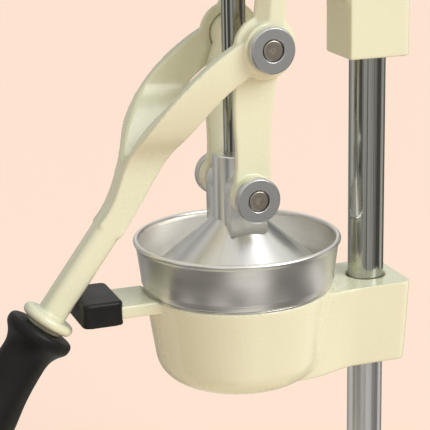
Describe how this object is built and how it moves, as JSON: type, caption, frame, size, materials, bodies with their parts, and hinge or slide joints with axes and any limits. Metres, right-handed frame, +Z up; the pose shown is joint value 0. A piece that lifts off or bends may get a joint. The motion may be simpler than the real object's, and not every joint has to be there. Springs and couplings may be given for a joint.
{
  "type": "manual citrus press",
  "caption": "Hand-lever citrus press: a forked lever and toggle links push a ribless cone down a guide rod into a strainer cup on a cast stand.",
  "frame": {"origin": "centre of the bounding box in plan, on the surface that the feet stand on", "axes": "+Z up, +Y towards the column at the back, the lever comes down on the -Y side, X across the press"},
  "size_m": [0.15, 0.32, 0.469],
  "materials": {
    "cream_paint": "gloss enamel on cast iron",
    "black_rubber": "matt moulded rubber",
    "black_grip": "satin black moulded grip",
    "zinc_hardware": "zinc plated",
    "dark_screw": "blackened",
    "brushed_column": "brushed stainless tube",
    "polished_column": "polished bar",
    "polished_rod": "polished bar",
    "stainless_satin": "spun stainless sheet, satin with a polished rim",
    "stainless_cone": "turned, with fine radial brushing",
    "machined_steel": "turned, with fine rings",
    "nickel_screw": "nickel plated",
    "bronze_bush": "sintered bronze"
  },
  "bodies": {
    "stand": {"base_casting": "cream_paint", "rubber_feet": "black_rubber", "foot_screws": "zinc_hardware", "base_bolt": "zinc_hardware", "base_bolt_washer": "zinc_hardware", "lower_column": "brushed_column", "upper_column": "polished_column", "cup_holder": "cream_paint", "holder_clamp_screw": "dark_screw", "stop_bumper": "black_rubber", "bumper_screw": "zinc_hardware", "head_casting": "cream_paint", "head_clamp_screw": "dark_screw", "guide_bushes": "bronze_bush", "juice_funnel": "stainless_satin", "strainer_cup": "stainless_satin", "strainer_cone": "stainless_satin", "fulcrum_pins": "machined_steel", "fulcrum_washers": "machined_steel", "fulcrum_screws": "nickel_screw"},
    "lever": {"lever_fork": "cream_paint", "grip": "black_grip", "knee_pins": "machined_steel", "knee_washers": "machined_steel", "knee_screws": "nickel_screw"},
    "links": {"link_right": "cream_paint", "link_left": "cream_paint", "ram_pins": "machined_steel", "ram_washers": "machined_steel", "ram_screws": "nickel_screw"},
    "ram": {"press_cone": "stainless_cone", "guide_rod": "polished_rod", "rod_cap": "cream_paint"}
  },
  "joints": [
    {"name": "lever_hinge", "type": "hinge", "parent": "stand", "child": "lever", "pos_m": [0, 0.05447, 0.421], "axis": [-1, 0, 0], "range_deg": [0, 100]},
    {"name": "knee_hinge", "type": "hinge", "parent": "lever", "child": "links", "pos_m": [0, 0.04989, 0.37121], "axis": [1, 0, 0], "range_deg": [0, 130]},
    {"name": "ram_slide", "type": "slide", "parent": "stand", "child": "ram", "axis": [0, 0, 1], "range_m": [0, 0.0705]}
  ],
  "couplings": [
    {"joint": "knee_hinge", "follows": "lever_hinge", "ratio": 1.2963},
    {"joint": "ram_slide", "follows": "lever_hinge", "m_per_rad": 0.04028}
  ]
}
